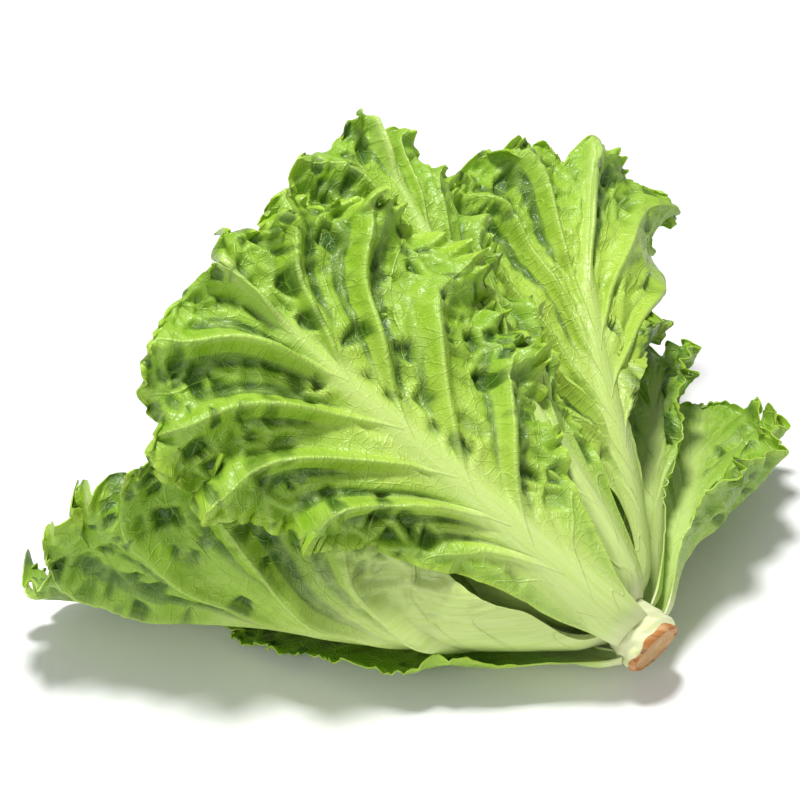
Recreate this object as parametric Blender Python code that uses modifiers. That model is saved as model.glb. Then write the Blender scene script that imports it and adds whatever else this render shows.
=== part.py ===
"""A loose-leaf lettuce, cut at the stem and lying on its side. Metres, +Z up.

Leaves spring from the stem in a spiral. Each one lies on its own flared shell round the head's axis, and the
shells are nested, so that no leaf passes through another. The head rests on its lower leaves.
"""

from collections import namedtuple
from math import cos, pi, radians, sin

import bmesh
import bpy
import numpy as np
from mathutils import Matrix, Vector

# The head's axis starts at the middle of the cut and rises, because a cone of leaves lies on its side.
STEM_CUT = Vector((0.117, -0.132, 0.0225))
AXIS_HEADING = radians(135)
AXIS_RISE = radians(19)

STEM_RADIUS = 0.0140
STEM_TIP_RADIUS = 0.0050
STEM_LENGTH = 0.052
STEM_SIDES = 28

# How far the outermost leaves stand away from the axis, as tangents, above or below it and to each side.
FLARE_ABOVE = 0.40
FLARE_BELOW = 0.345
FLARE_LEFT = 1.00
FLARE_RIGHT = 1.50
FLARE_SQUARENESS = 3.0

# A leaf leaves the stem steeply and straightens within a few centimetres. Below, the table presses it flat.
BASE_SPLAY_ABOVE = radians(58)
BASE_SPLAY_BELOW = radians(34)
BASE_BEND = 0.022

FIRST_START = 0.0070
START_STEP = 0.0023
LEAF_GAP = 0.0012

BLADE_THICKNESS = 0.0008
RIB_HEIGHT = 0.0030
RIB_HALF_WIDTH = 0.0110
RIB_TIP_HALF_WIDTH = 0.0015
SPINE_SHARE = 0.86
VEINS_PER_SIDE = 6
VEIN_BEND = 1.5

COLUMNS = 46
ROWS = 5
PATH_STEPS = 20
WRAP_STEPS = 8
TABLE_SOFTNESS = 0.004
TABLE_LAYER = 0.0011
PRESSED = 0.0003

BLADE_GREEN = (0.33, 0.55, 0.07)
STEM_WHITE = (0.83, 0.85, 0.62)

# turn and swing are degrees round the axis, from the top towards the back: the place at the base, and what the
# tip adds. flare is the share of the outermost flare, curl the degrees that the tip bends outwards, and roll the
# degrees that the blade turns about its midrib. left and right hold each side's half width, and the shares of the
# length where it starts to widen and where it is widest. fold is how far the margin's folds stand out. layer counts
# the leaves that lie under this one on the table, with itself.
Leaf = namedtuple("Leaf", "name turn swing flare curl roll length left right fold layer")
LEAVES = (
    Leaf("leaf_under_front", -142, 8, 1.36, 0, 0, 0.186, (0.085, 0.08, 0.80), (0.048, 0.08, 0.55), 0.0035, 1),
    Leaf("leaf_far_right", 104, 0, 1.38, 0, 30, 0.176, (0.054, 0.00, 0.45), (0.024, 0.10, 0.80), 0.0060, 1),
    Leaf("leaf_top_left", -44, 0, 0.84, 4, 0, 0.244, (0.104, 0.14, 1.00), (0.095, 0.08, 0.75), 0.0070, 4),
    Leaf("leaf_under_middle", 176, 4, 0.95, 0, 0, 0.235, (0.075, 0.08, 0.86), (0.080, 0.08, 0.86), 0.0035, 2),
    Leaf("leaf_inner_right", 101, 0, 0.88, 6, 0, 0.190, (0.030, 0.30, 0.80), (0.050, 0.08, 0.80), 0.0045, 3),
    Leaf("leaf_front_left", -118, 1, 1.16, 0, 28, 0.254, (0.045, 0.08, 0.85), (0.130, 0.08, 0.90), 0.0065, 5),
    Leaf("leaf_top_middle", 3, 10, 0.74, 4, 0, 0.245, (0.100, 0.08, 0.86), (0.032, 0.08, 0.50), 0.0050, 4),
    Leaf("leaf_back_right", 64, 8, 0.63, 7, -14, 0.238, (0.100, 0.08, 0.85), (0.118, 0.50, 0.88), 0.0060, 4),
    Leaf("leaf_under_right", 144, 0, 0.68, 0, 0, 0.200, (0.070, 0.08, 0.86), (0.070, 0.08, 0.86), 0.0040, 3),
    Leaf("leaf_inner_front", -93, 0, 0.66, 0, 0, 0.172, (0.055, 0.08, 0.86), (0.070, 0.08, 0.75), 0.0040, 4),
    Leaf("leaf_inner_under", -163, 0, 0.47, 0, 0, 0.200, (0.060, 0.08, 0.86), (0.060, 0.08, 0.86), 0.0030, 4),
    Leaf("leaf_inner_top", -38, 0, 0.42, 0, 0, 0.195, (0.065, 0.08, 0.86), (0.055, 0.08, 0.86), 0.0035, 4),
    Leaf("leaf_inner_far", 110, 0, 0.36, 0, 0, 0.190, (0.055, 0.08, 0.86), (0.055, 0.08, 0.86), 0.0035, 4),
    Leaf("leaf_heart_front", -110, 0, 0.32, 0, 0, 0.160, (0.050, 0.08, 0.86), (0.050, 0.08, 0.86), 0.0025, 4),
    Leaf("leaf_heart_top", 30, 0, 0.22, 0, 0, 0.155, (0.045, 0.08, 0.86), (0.045, 0.08, 0.86), 0.0025, 4),
    Leaf("leaf_heart_under", 170, 0, 0.24, 0, 0, 0.150, (0.045, 0.08, 0.86), (0.045, 0.08, 0.86), 0.0020, 4),
)


def head_axes():
    """The axis from the cut towards the leaf tips, the upward direction across it, and the level one."""
    along = Vector((cos(AXIS_HEADING) * cos(AXIS_RISE), sin(AXIS_HEADING) * cos(AXIS_RISE), sin(AXIS_RISE)))
    above = (Vector((0, 0, 1)) - along.z * along).normalized()
    return along, above, along.cross(above)


def smooth(x, low, high):
    t = np.clip((x - low) / (high - low), 0, 1)
    return t * t * (3 - 2 * t)


def shell_radius_and_reach(leaf, start, p, angle):
    """Distances along and away from the axis, p along a leaf, in the direction at that angle round the axis."""
    below = smooth(-np.cos(angle), 0.0, 0.9)
    side = np.where(np.sin(angle) < 0, FLARE_LEFT, FLARE_RIGHT)
    upright = FLARE_ABOVE + (FLARE_BELOW - FLARE_ABOVE) * below
    across = (np.abs(np.cos(angle)) / upright) ** FLARE_SQUARENESS
    across += (np.abs(np.sin(angle)) / side) ** FLARE_SQUARENESS
    spread = np.arctan(leaf.flare * across ** (-1 / FLARE_SQUARENESS))
    splay = BASE_SPLAY_ABOVE + (BASE_SPLAY_BELOW - BASE_SPLAY_ABOVE) * below
    reach = np.zeros_like(p) + start
    radius = np.zeros_like(p) + stem_radius(start) + LEAF_GAP
    for step in range(PATH_STEPS):
        t = p * (step + 0.5) / PATH_STEPS
        slope = spread + (splay - spread) * np.exp(-t / BASE_BEND) + radians(leaf.curl) * (t / leaf.length) ** 3
        reach = reach + np.cos(slope) * p / PATH_STEPS
        radius = radius + np.sin(slope) * p / PATH_STEPS
    return reach, radius


def stem_radius(reach):
    return STEM_RADIUS + (STEM_TIP_RADIUS - STEM_RADIUS) * smooth(reach, 0.004, STEM_LENGTH)


def shell_point(leaf, start, p, angle):
    """Points of the leaf's shell, as rows of x, y, z."""
    along, above, level = (np.array(v) for v in head_axes())
    reach, radius = shell_radius_and_reach(leaf, start, p, angle)
    return (
        np.array(STEM_CUT)
        + reach[:, None] * along
        + (radius * np.cos(angle))[:, None] * above
        + (radius * np.sin(angle))[:, None] * level
    )


def lay_on_shell(leaf, start, p, q):
    """Places the flat leaf's point p along and q across its midrib on the shell, keeping q as a length."""
    angle = radians(leaf.turn) + radians(leaf.swing) * (p / leaf.length) ** 1.3
    nudge = 0.01
    for _ in range(WRAP_STEPS):
        ahead = shell_point(leaf, start, p, angle + nudge)
        behind = shell_point(leaf, start, p, angle - nudge)
        per_radian = np.linalg.norm(ahead - behind, axis=1) / (2 * nudge)
        angle = angle + q / WRAP_STEPS / per_radian
    return rolled(leaf, start, p, shell_point(leaf, start, p, angle))


def rolled(leaf, start, p, points):
    """The points turned about the line from the leaf's base to its tip, more and more over the first half."""
    ends = np.array([0, leaf.length])
    base, tip = shell_point(leaf, start, ends, radians(leaf.turn) + radians(leaf.swing) * (ends > 0))
    line = (tip - base) / np.linalg.norm(tip - base)
    roll = radians(leaf.roll) * smooth(p / leaf.length, 0.05, 0.5)[:, None]
    away = points - base
    level = (away @ line)[:, None] * line
    return base + level + (away - level) * np.cos(roll) + np.cross(line, away) * np.sin(roll)


def spine_place(leaf, w):
    """How far along the midrib the side vein at w starts: w is 0 at the tip and 1 at the base."""
    return leaf.length * SPINE_SHARE * (1 - w)


def half_width(leaf, u, x):
    """The flat leaf's width on the side of u, at the share x of its length."""
    width, begin, shoulder = (np.where(u < 0, left, right) for left, right in zip(leaf.left, leaf.right))
    widening = RIB_HALF_WIDTH + (width - RIB_HALF_WIDTH) * smooth(x, begin, shoulder)
    return widening * np.sqrt(np.clip(1 - x**10, 0, 1))


def flat_leaf(leaf, u, v):
    """The leaf laid flat: u runs round the margin from base to tip to base, v from the midrib to the margin."""
    w = np.abs(u)
    notch = 1 - 0.035 * (np.round(w * COLUMNS / 2) % 2) * smooth(1 - w, 0.15, 0.35)
    margin_p = leaf.length * (1 - w**2) * notch
    margin_q = half_width(leaf, u, 1 - w**2) * notch
    spine = spine_place(leaf, w)
    p = spine + (margin_p - spine) * (1 - (1 - v) ** VEIN_BEND)
    return p, np.sign(u) * margin_q * v


def fold_height(leaf, u, v):
    """The blade stands out at the side veins and sinks between them, most of all at the margin."""
    w = np.abs(u)
    side = np.where(u < 0, 0.35, -0.25)
    wave = np.cos(2 * pi * VEINS_PER_SIDE * w + 2 * pi * side * w)
    return leaf.fold * wave * v**1.6 * smooth(1 - w, 0.10, 0.40)


def rib_half_width(leaf, p):
    return RIB_HALF_WIDTH + (RIB_TIP_HALF_WIDTH - RIB_HALF_WIDTH) * np.clip(p / leaf.length, 0, 1) ** 0.7


def row_place(leaf, u, row):
    """v of a row of the mesh: the first row off the midrib runs along the rib's edge."""
    w = np.abs(u)
    margin = half_width(leaf, u, 1 - np.clip(w, 0.05, 1) ** 2)
    rib_edge = np.clip(rib_half_width(leaf, spine_place(leaf, w)) / margin, 0.05, 0.6)
    share = np.clip(row - 1, 0, None) / (ROWS - 1)
    return np.where(row < 0.5, 0, rib_edge + (1 - rib_edge) * share**0.85)


def leaf_grid(leaf):
    """A flat grid named for the leaf, and each vertex's u and v."""
    bpy.ops.mesh.primitive_grid_add(x_subdivisions=COLUMNS, y_subdivisions=ROWS, size=2)
    obj = bpy.context.object
    obj.name = obj.data.name = leaf.name
    grid = np.array([vertex.co for vertex in obj.data.vertices])
    u = grid[:, 0]
    return obj, u, row_place(leaf, u, np.round((grid[:, 1] + 1) / 2 * ROWS))


def place_sheet(leaf, start, mesh, u, v):
    """Lays the grid on the leaf's shell, folds it and holds it off the table. Returns the points, and 1 or -1:
    whether the faces look away from the head's axis or towards it."""
    laid = lay_on_shell(leaf, start, *flat_leaf(leaf, u, v))
    mesh.vertices.foreach_set("co", laid.ravel())
    mesh.update()
    normals = np.array([vertex.normal for vertex in mesh.vertices])
    along = np.array(head_axes()[0])
    outward = laid - np.array(STEM_CUT)
    outward -= (outward @ along)[:, None] * along
    facing = 1 if np.sum(normals * outward) > 0 else -1

    table = TABLE_LAYER * leaf.layer
    free = smooth(laid[:, 2] - table, 0.000, 0.035)
    folded = laid + facing * normals * (fold_height(leaf, u, v) * free)[:, None]
    lift = folded[:, 2] - table
    folded[:, 2] = table + (lift + np.sqrt(lift**2 + TABLE_SOFTNESS**2)) / 2
    mesh.vertices.foreach_set("co", folded.ravel())
    return folded, facing


def thicken(leaf, obj, points, u, v):
    """Adds the modifier that makes the sheet solid: thick along the midrib, less so where the leaf lies flat."""
    standing = smooth(points[:, 2] - TABLE_LAYER * leaf.layer, 0.002, 0.014)
    rib = RIB_HEIGHT * (1 - 0.9 * flat_leaf(leaf, u, v)[0] / leaf.length) * standing
    thickness = BLADE_THICKNESS + np.where(v < 0.001, rib, 0)
    full = BLADE_THICKNESS + RIB_HEIGHT
    group = obj.vertex_groups.new(name="thickness")
    for index, share in enumerate(thickness / full):
        group.add([index], float(share), "REPLACE")
    solid = obj.modifiers.new("thickness", "SOLIDIFY")
    solid.thickness = full
    solid.offset = 1
    solid.vertex_group = "thickness"
    solid.thickness_vertex_group = 0


def make_leaf(leaf, order, material):
    """One leaf: a grid wrapped round its midrib, laid on its shell, folded, then thickened outwards."""
    obj, u, v = leaf_grid(leaf)
    points, facing = place_sheet(leaf, FIRST_START + START_STEP * order, obj.data, u, v)
    thicken(leaf, obj, points, u, v)
    shape = bmesh.new()
    shape.from_mesh(obj.data)
    bmesh.ops.remove_doubles(shape, verts=shape.verts, dist=0.00002)
    if facing < 0:
        bmesh.ops.reverse_faces(shape, faces=shape.faces)
    bmesh.ops.triangulate(shape, faces=shape.faces, quad_method="FIXED")
    shape.to_mesh(obj.data)
    shape.free()
    obj.data.materials.append(material)
    return obj


def make_stem(material):
    """The cut stem and the short core that the leaves stand on, turned about the head's axis."""
    chamfer = 0.0012
    reaches = np.linspace(chamfer, STEM_LENGTH, 7)
    profile = [(float(stem_radius(r)), float(r)) for r in reaches]
    profile = [(0, STEM_LENGTH + STEM_TIP_RADIUS)] + profile[::-1] + [(STEM_RADIUS - chamfer, 0), (0, 0)]
    mesh = bpy.data.meshes.new("stem")
    mesh.from_pydata([(r, 0, z) for r, z in profile], [(i, i + 1) for i in range(len(profile) - 1)], [])
    obj = bpy.data.objects.new("stem", mesh)
    turn = obj.modifiers.new("turn", "SCREW")
    turn.axis = "Z"
    turn.steps = turn.render_steps = STEM_SIDES
    turn.use_merge_vertices = True
    turn.merge_threshold = 0.00005
    along, above, level = head_axes()
    obj.matrix_world = Matrix.Translation(STEM_CUT) @ Matrix((above, level, along)).transposed().to_4x4()
    mesh.materials.append(material)
    return obj


def settle(parts):
    """Bakes the modifiers, then sets the head down: its lowest leaf is pressed flat where it meets z = 0."""
    bpy.context.view_layer.update()
    graph = bpy.context.evaluated_depsgraph_get()
    for part in parts:
        baked = bpy.data.meshes.new_from_object(part.evaluated_get(graph))
        baked.transform(part.matrix_world)
        part.modifiers.clear()
        part.data = baked
        part.matrix_world = Matrix.Identity(4)
    points = {part: np.array([vertex.co for vertex in part.data.vertices]) for part in parts}
    low = np.min([p.min(axis=0) for p in points.values()], axis=0)
    high = np.max([p.max(axis=0) for p in points.values()], axis=0)
    shift = -np.array([(low[0] + high[0]) / 2, (low[1] + high[1]) / 2, low[2] + PRESSED])
    for part, placed in points.items():
        placed += shift
        placed[:, 2] = np.maximum(placed[:, 2], 0)
        part.data.vertices.foreach_set("co", placed.ravel())
        part.data.update()


def plain_material(name, colour, roughness):
    material = bpy.data.materials.new(name)
    material.use_nodes = True
    shader = material.node_tree.nodes["Principled BSDF"]
    shader.inputs["Base Color"].default_value = (*colour, 1)
    shader.inputs["Roughness"].default_value = roughness
    return material


def main():
    for obj in list(bpy.data.objects):
        bpy.data.objects.remove(obj)
    head = bpy.data.collections.new("lettuce")
    bpy.context.scene.collection.children.link(head)
    blade = plain_material("blade", BLADE_GREEN, 0.45)
    parts = [make_stem(plain_material("stem", STEM_WHITE, 0.55))]
    for order, leaf in enumerate(LEAVES):
        parts.append(make_leaf(leaf, order, blade))
    for part in parts:
        for collection in list(part.users_collection):
            collection.objects.unlink(part)
        head.objects.link(part)
    settle(parts)


main()
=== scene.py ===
"""A cut head of loose-leaf lettuce on its side, leaf by leaf: ribs, veins, blisters and frilled margins."""

from math import cos, pi, radians, sin

import bmesh
import bpy
import numpy as np
from mathutils import Matrix, Vector


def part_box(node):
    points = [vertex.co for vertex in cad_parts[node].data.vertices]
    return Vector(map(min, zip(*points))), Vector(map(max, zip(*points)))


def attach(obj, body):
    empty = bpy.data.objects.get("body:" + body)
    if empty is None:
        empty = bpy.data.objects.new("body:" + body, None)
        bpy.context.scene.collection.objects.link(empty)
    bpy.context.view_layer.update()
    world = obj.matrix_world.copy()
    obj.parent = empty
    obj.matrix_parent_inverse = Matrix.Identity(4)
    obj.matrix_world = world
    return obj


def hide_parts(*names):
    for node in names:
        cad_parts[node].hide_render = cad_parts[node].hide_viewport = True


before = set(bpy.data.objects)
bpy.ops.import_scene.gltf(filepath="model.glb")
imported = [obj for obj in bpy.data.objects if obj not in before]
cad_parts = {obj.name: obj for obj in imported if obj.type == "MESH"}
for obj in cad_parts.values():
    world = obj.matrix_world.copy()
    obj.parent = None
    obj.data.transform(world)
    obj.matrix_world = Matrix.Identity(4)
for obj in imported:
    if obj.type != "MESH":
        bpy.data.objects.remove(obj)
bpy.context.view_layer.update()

# How the head lies. Its axis starts at the middle of the stem's cut, at the right front, and rises
# towards the leaf tips at the left back. The cut's place is read off the solid of the stem, which narrows
# towards its tip.
AXIS_HEADING = radians(135)
AXIS_RISE = radians(19)
STEM_RADIUS = 0.0140
STEM_TIP_RADIUS = 0.0050
STEM_LENGTH = 0.052
STEM_CHAMFER = 0.0012
STEM_TAPER_START = 0.004
STEM_RINGS = 7

flat_share = cos(AXIS_RISE)
along = Vector((cos(AXIS_HEADING) * flat_share, sin(AXIS_HEADING) * flat_share, sin(AXIS_RISE)))
above = (Vector((0, 0, 1)) - along.z * along).normalized()
level = along.cross(above)
ALONG, ABOVE, LEVEL = (np.array(v) for v in (along, above, level))


def smooth(x, low, high):
    """0 below low, 1 above high, and a smooth step between them."""
    t = np.clip((x - low) / (high - low), 0, 1)
    return t * t * (3 - 2 * t)


def stem_radius(reach):
    return STEM_RADIUS + (STEM_TIP_RADIUS - STEM_RADIUS) * smooth(reach, STEM_TAPER_START, STEM_LENGTH)


reaches = np.linspace(STEM_CHAMFER, STEM_LENGTH, STEM_RINGS)
rims = reaches[:, None] * ALONG - stem_radius(reaches)[:, None] * np.sqrt(1 - ALONG**2)
cut_rim = -(STEM_RADIUS - STEM_CHAMFER) * np.sqrt(1 - ALONG**2)
tip = (STEM_LENGTH + STEM_TIP_RADIUS) * ALONG
CUT = np.array(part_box("stem")[0]) - np.min(np.vstack([rims, cut_rim, tip]), axis=0)

# The camera: a long lens in front of the table, looking down on it. It puts the cut of the stem where the
# photograph has it, at the lower right.
CAMERA_RISE = radians(36)
LENS = 120
CAMERA_DISTANCE = 1.159
CUT_RIGHT_OF_MIDDLE = 0.1113
CUT_BELOW_MIDDLE = 0.1087

to_right = Vector((1, 0, 0))
to_top = Vector((0, sin(CAMERA_RISE), cos(CAMERA_RISE)))
to_camera = to_right.cross(to_top)
lens = bpy.data.cameras.new("camera")
lens.lens = LENS
camera = bpy.data.objects.new("camera", lens)
bpy.context.scene.collection.objects.link(camera)
camera.matrix_world = Matrix((to_right, to_top, to_camera)).transposed().to_4x4()
camera.location = (
    Vector(CUT) + to_camera * CAMERA_DISTANCE - to_right * CUT_RIGHT_OF_MIDDLE + to_top * CUT_BELOW_MIDDLE
)
bpy.context.scene.camera = camera

# The table and the light: a matt white sheet in a white room, with one big soft lamp above and a wider,
# weaker one at the front left.
FLOOR_SIZE = 6.0
FLOOR_WHITE = 0.92
FLOOR_ROUGHNESS = 0.9
ROOM_BRIGHTNESS = 0.34

bpy.context.scene.view_settings.view_transform = "Standard"
bpy.ops.mesh.primitive_plane_add(size=FLOOR_SIZE)
floor = bpy.context.object
floor.name = "floor"
paper = bpy.data.materials.new("white_paper")
paper.use_nodes = True
paper_shader = paper.node_tree.nodes["Principled BSDF"]
paper_shader.inputs["Base Color"].default_value = (FLOOR_WHITE,) * 3 + (1,)
paper_shader.inputs["Roughness"].default_value = FLOOR_ROUGHNESS
floor.data.materials.append(paper)

room = bpy.data.worlds.new("white_room")
room.use_nodes = True
room.node_tree.nodes["Background"].inputs["Color"].default_value = (1, 1, 1, 1)
room.node_tree.nodes["Background"].inputs["Strength"].default_value = ROOM_BRIGHTNESS
bpy.context.scene.world = room


def lamp(name, place, size, power):
    """A round lamp that shines at the head."""
    light = bpy.data.lights.new(name, "AREA")
    light.shape = "DISK"
    light.size = size
    light.energy = power
    obj = bpy.data.objects.new(name, light)
    obj.location = place
    obj.rotation_euler = (-Vector(place)).to_track_quat("-Z", "Y").to_euler()
    bpy.context.scene.collection.objects.link(obj)


lamp("lamp_above", place=(-0.12, 0.05, 1.42), size=0.30, power=20)
lamp("lamp_front", place=(-0.8, -1.3, 0.8), size=0.8, power=7.0)

# What a leaf is made of. Lettuce is watery and a little translucent: near-white in the rib and at the
# base, yellow-green in the blade and deeper green at the margin, with pale veins round its blisters,
# whitish streaks beside the rib, and a waxy shine. Its hollows are darkened with painted shade, and
# the very edge of the margin is lightened with painted light.
RIB_WHITE = (0.62, 0.76, 0.28, 1)
BASE_GREEN = (0.41, 0.59, 0.060, 1)
BLADE_GREEN = (0.290, 0.485, 0.030, 1)
MARGIN_GREEN = (0.19, 0.37, 0.010, 1)
VEIN_GREEN = (0.42, 0.60, 0.11, 1)
HAZE_GREEN = (0.43, 0.61, 0.13, 1)
# Painted light: a lighter green for the thin margin edge, as if lit through it.
RIM_LIGHT_GREEN = (0.40, 0.60, 0.040, 1)
STEM_WHITE = (0.74, 0.78, 0.46, 1)
# Painted shade, for the leaf's hollows.
HOLLOW_SHADE_GREEN = (0.022, 0.090, 0.002, 1)
VEIN_CELLS_PER_METRE = 190.0
FINE_CELLS_PER_METRE = 520.0
VEIN_WANDER = 0.0035
FINE_VEIN_SHARE = 0.30
STREAK_STRETCH = (7.0, 1.6, 1.0)
HAIR_STRETCH = (30.0, 1.3, 1.0)
GROOVE_STRETCH = (1.0, 0.06, 1.0)
LEAF_SHINE = 0.45
LEAF_GLOW = 0.22
LEAF_GLOW_COLOUR = (0.7, 1.0, 0.25)
LEAF_GLOW_DEPTH = 0.0022
LEAF_BUMP_STRENGTH = 0.55
LEAF_BUMP_HEIGHT = 0.0009


class Nodes:
    """Adds nodes to a tree and joins them, with plain numbers set straight on the sockets."""

    def __init__(self, tree):
        self.tree = tree

    def add(self, kind, **settings):
        node = self.tree.nodes.new(kind)
        for name, value in settings.items():
            setattr(node, name, value)
        return node

    def join(self, value, socket):
        if isinstance(value, bpy.types.NodeSocket):
            self.tree.links.new(value, socket)
        else:
            socket.default_value = value

    def math(self, operation, *values):
        node = self.add("ShaderNodeMath", operation=operation)
        for value, socket in zip(values, node.inputs):
            self.join(value, socket)
        return node.outputs[0]

    def vector(self, operation, *values):
        node = self.add("ShaderNodeVectorMath", operation=operation)
        for value, socket in zip(values, node.inputs):
            self.join(value, socket)
        return node.outputs[0]

    def step(self, value, low, high):
        """0 at low, 1 at high, and smooth between them."""
        node = self.add("ShaderNodeMapRange", interpolation_type="SMOOTHSTEP")
        for name, given in (("Value", value), ("From Min", low), ("From Max", high)):
            self.join(given, node.inputs[name])
        return node.outputs["Result"]

    def mix(self, share, first, second):
        node = self.add("ShaderNodeMix", data_type="RGBA")
        self.join(share, node.inputs[0])
        self.join(first, node.inputs[6])
        self.join(second, node.inputs[7])
        return node.outputs[2]

    def noise(self, place, scale, detail=2.0, roughness=0.5):
        node = self.add("ShaderNodeTexNoise")
        self.join(place, node.inputs["Vector"])
        self.join(scale, node.inputs["Scale"])
        self.join(detail, node.inputs["Detail"])
        self.join(roughness, node.inputs["Roughness"])
        return node.outputs["Fac"]

    def cells(self, place, scale):
        """How far a point is from the nearest cell wall, in cells."""
        node = self.add("ShaderNodeTexVoronoi", feature="DISTANCE_TO_EDGE")
        self.join(place, node.inputs["Vector"])
        self.join(scale, node.inputs["Scale"])
        return node.outputs["Distance"]


def group(name, inputs, outputs):
    """A named node group, with its input and output nodes."""
    tree = bpy.data.node_groups.new(name, "ShaderNodeTree")
    for side, sockets in (("INPUT", inputs), ("OUTPUT", outputs)):
        for label, kind in sockets:
            tree.interface.new_socket(label, in_out=side, socket_type="NodeSocket" + kind)
    nodes = Nodes(tree)
    return nodes, nodes.add("NodeGroupInput"), nodes.add("NodeGroupOutput")


def vein_network():
    """Fine veins on the flat leaf: thin raised lines round cells of 5 mm, and finer ones inside them."""
    outputs = [("Lines", "Float"), ("Height", "Float")]
    nodes, given, made = group("vein_network", [("Flat Place", "Vector")], outputs)
    place = given.outputs["Flat Place"]
    wander = nodes.add("ShaderNodeTexNoise")
    nodes.join(place, wander.inputs["Vector"])
    nodes.join(110.0, wander.inputs["Scale"])
    warped = nodes.vector("MULTIPLY_ADD", wander.outputs["Color"], (VEIN_WANDER, VEIN_WANDER, 0.0), place)
    big = nodes.step(nodes.cells(warped, VEIN_CELLS_PER_METRE), 0.085, 0.0)
    fine = nodes.step(nodes.cells(warped, FINE_CELLS_PER_METRE), 0.12, 0.0)
    lines = nodes.math("MAXIMUM", big, nodes.math("MULTIPLY", fine, FINE_VEIN_SHARE))
    nodes.join(lines, made.inputs["Lines"])
    grain = nodes.noise(place, 900.0, 3.0)
    ridge = nodes.math("ADD", nodes.math("MULTIPLY", big, 0.5), nodes.math("MULTIPLY", fine, 0.18))
    nodes.join(nodes.math("ADD", ridge, nodes.math("MULTIPLY", grain, 0.30)), made.inputs["Height"])
    return nodes.tree


def side_veins():
    """The side veins that leave the rib: thick at the rib, thin outwards, with a thinner one between two."""
    nodes, given, made = group("side_veins", [("Vein Place", "Vector")], [("Lines", "Float")])
    split = nodes.add("ShaderNodeSeparateXYZ")
    nodes.join(given.outputs["Vein Place"], split.inputs[0])
    across, outward = split.outputs["X"], split.outputs["Y"]
    turned = nodes.math("FRACT", nodes.math("ADD", across, 0.5))
    main = nodes.math("ABSOLUTE", nodes.math("SUBTRACT", turned, 0.5))
    between = nodes.math("SUBTRACT", 0.5, main)
    width = nodes.math("MULTIPLY_ADD", outward, -0.030, 0.046)
    thick = nodes.step(nodes.math("DIVIDE", main, width), 1.0, 0.1)
    thin = nodes.step(nodes.math("DIVIDE", between, nodes.math("MULTIPLY", width, 0.6)), 1.0, 0.1)
    late = nodes.step(outward, 0.15, 0.35)
    both = nodes.math("MAXIMUM", thick, nodes.math("MULTIPLY", thin, late))
    worn = nodes.step(nodes.noise(given.outputs["Vein Place"], 2.2, 3.0), 0.30, 0.60)
    kept = nodes.math("MULTIPLY_ADD", worn, 0.6, 0.4)
    nodes.join(nodes.math("MULTIPLY", both, kept), made.inputs["Lines"])
    return nodes.tree


def blade_streaks():
    """Pale streaks and hair-thin dark lines that follow the side veins away from the rib."""
    outputs = [("Pale", "Float"), ("Hairs", "Float")]
    nodes, given, made = group("blade_streaks", [("Vein Place", "Vector")], outputs)
    wide = nodes.vector("MULTIPLY", given.outputs["Vein Place"], STREAK_STRETCH)
    narrow = nodes.vector("MULTIPLY", given.outputs["Vein Place"], HAIR_STRETCH)
    nodes.join(nodes.step(nodes.noise(wide, 1.0, 4.0, 0.6), 0.48, 0.72), made.inputs["Pale"])
    nodes.join(nodes.step(nodes.noise(narrow, 1.0, 2.0), 0.60, 0.70), made.inputs["Hairs"])
    return nodes.tree


def rib_streaks():
    """Long fine grooves that run up the rib and the pale base."""
    nodes, given, made = group("rib_streaks", [("Flat Place", "Vector")], [("Streaks", "Float")])
    stretched = nodes.vector("MULTIPLY", given.outputs["Flat Place"], GROOVE_STRETCH)
    nodes.join(nodes.noise(stretched, 620.0, 3.0), made.inputs["Streaks"])
    return nodes.tree


VEIN_NETWORK, SIDE_VEINS, BLADE_STREAKS = vein_network(), side_veins(), blade_streaks()
RIB_STREAKS = rib_streaks()


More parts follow.
